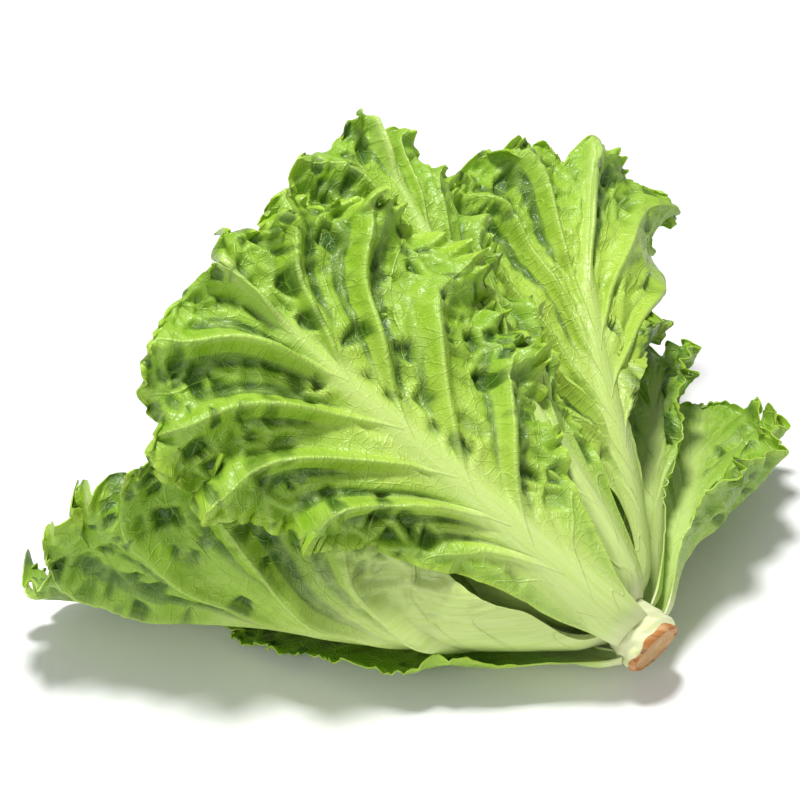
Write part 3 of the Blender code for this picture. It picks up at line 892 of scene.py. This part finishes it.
# The stem: a short white core, knobbly where lower leaves were pulled off, and cut straight across with a
# knife. The cut has dried to tan, and its ragged rim to an orange brown that has crept up the side.
CUT_SHARE = 0.30
KNOB_HEIGHT = 0.0011
CUT_HOLLOW = 0.0010
CHAMFER_SHARE = 0.8
RAGGED_WAVES = ((0.00035, 9, 1), (0.00025, 17, 0), (0.0004, 4, 2))
CREPT = 0.0030
CREPT_WAVES = ((0.0011, 3, 2), (0.0006, 7, 0))
CUT_TAN = (0.56, 0.35, 0.15, 1)
CUT_CREAM = (0.72, 0.50, 0.26, 1)
CUT_BROWN = (0.50, 0.19, 0.040, 1)
CUT_DARK = (0.14, 0.045, 0.012, 1)
SKIN_GREEN = (0.62, 0.66, 0.30, 1)
STEM_GLOW = 0.15
STEM_GLOW_DEPTH = 0.002
STEM_BUMP_STRENGTH = 0.6
STEM_BUMP_HEIGHT = 0.0008

bpy.ops.object.select_all(action="DESELECT")
bpy.ops.mesh.primitive_uv_sphere_add(segments=128, ring_count=96, radius=1)
stem = bpy.context.object
stem.name = stem.data.name = "stem_fine"
ball = np.array([vertex.co for vertex in stem.data.vertices])
place = np.arccos(np.clip(-ball[:, 2], -1, 1)) / pi
turn = np.arctan2(ball[:, 1], ball[:, 0])
on_cut = place < CUT_SHARE
reach = np.clip((place - CUT_SHARE) / (1 - CUT_SHARE), 0, 1) * (STEM_LENGTH + STEM_TIP_RADIUS)
round_end = np.sqrt(np.clip(1 - (np.clip(reach - STEM_LENGTH, 0, None) / STEM_TIP_RADIUS) ** 2, 0, 1))
knobs = np.sin(5 * turn + 700 * reach) * np.sin(3 * turn - 420 * reach + 1)
knobs = knobs + 0.5 * np.sin(11 * turn + 900 * reach)
knobs = knobs * smooth(reach, 0.0005, 0.003) * (1 - smooth(reach, 0.012, 0.02))
ragged = sum(size * np.sin(count * turn + lead) for size, count, lead in RAGGED_WAVES)
side = (stem_radius(reach) + ragged * (1 - smooth(reach, 0, 0.004))) * round_end + KNOB_HEIGHT * 0.5 * knobs
side -= STEM_CHAMFER * (1 - smooth(reach, 0.0, STEM_CHAMFER * 1.5)) * CHAMFER_SHARE
inward = place / CUT_SHARE
radius = np.where(on_cut, (STEM_RADIUS - STEM_CHAMFER * CHAMFER_SHARE + ragged) * place / CUT_SHARE, side)
hollow = CUT_HOLLOW * (1 - inward**4) + 0.00025 * np.sin(40 * inward + 3 * turn) * inward * (1 - inward) * 4
reach = np.where(on_cut, np.clip(hollow, 0, None), reach)
points = CUT + reach[:, None] * ALONG + radius[:, None] * (
    np.cos(turn)[:, None] * ABOVE + np.sin(turn)[:, None] * LEVEL
)
stem.data.vertices.foreach_set("co", points.ravel())
crept = CREPT + sum(size * np.sin(count * turn + lead) for size, count, lead in CREPT_WAVES)
browned = {
    "cut": np.where(on_cut, 1.0, 1 - smooth(reach, crept - 0.0012, crept + 0.0008)),
    "rim": np.where(on_cut, smooth(inward, 0.70, 0.98), 1.0),
}
paint(stem.data, browned, {"flat": (radius * np.cos(turn) + 0.1, radius * np.sin(turn) + 0.1 + reach)})
stem.data.update()
bpy.ops.object.shade_smooth_by_angle(angle=radians(50))

cut_stem = bpy.data.materials.new("cut_stem")
cut_stem.use_nodes = True
nodes = Nodes(cut_stem.node_tree)
shader = cut_stem.node_tree.nodes["Principled BSDF"]
flat = nodes.add("ShaderNodeUVMap", uv_map="flat").outputs[0]
cut = nodes.add("ShaderNodeAttribute", attribute_name="cut").outputs["Fac"]
rim = nodes.add("ShaderNodeAttribute", attribute_name="rim").outputs["Fac"]
grain = nodes.noise(flat, 520.0, 5.0, 0.65)
blotch = nodes.noise(flat, 150.0, 3.0)
brown = nodes.math("ADD", rim, nodes.math("MULTIPLY_ADD", grain, 1.0, -0.5))
face = nodes.mix(nodes.step(brown, 0.25, 0.95), CUT_TAN, CUT_BROWN)
face = nodes.mix(nodes.math("MULTIPLY", nodes.step(blotch, 0.45, 0.70), 0.5), face, CUT_CREAM)
spots = nodes.math("MULTIPLY", nodes.step(nodes.noise(flat, 210.0, 4.0, 0.6), 0.52, 0.66), rim)
face = nodes.mix(nodes.math("MULTIPLY", spots, 0.8), face, CUT_DARK)
skin = nodes.mix(nodes.step(blotch, 0.40, 0.75), STEM_WHITE, SKIN_GREEN)
edge = nodes.step(nodes.math("ADD", cut, nodes.math("MULTIPLY_ADD", blotch, 0.6, -0.3)), 0.35, 0.65)
nodes.join(nodes.mix(edge, skin, face), shader.inputs["Base Color"])
nodes.join(nodes.math("MULTIPLY_ADD", cut, 0.30, 0.42), shader.inputs["Roughness"])
nodes.join(STEM_GLOW, shader.inputs["Subsurface Weight"])
nodes.join(STEM_GLOW_DEPTH, shader.inputs["Subsurface Scale"])
bump = nodes.add("ShaderNodeBump")
nodes.join(STEM_BUMP_STRENGTH, bump.inputs["Strength"])
nodes.join(STEM_BUMP_HEIGHT, bump.inputs["Distance"])
nodes.join(grain, bump.inputs["Height"])
nodes.join(bump.outputs[0], shader.inputs["Normal"])
stem.data.materials.clear()
stem.data.materials.append(cut_stem)
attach(stem, "root")
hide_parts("stem")
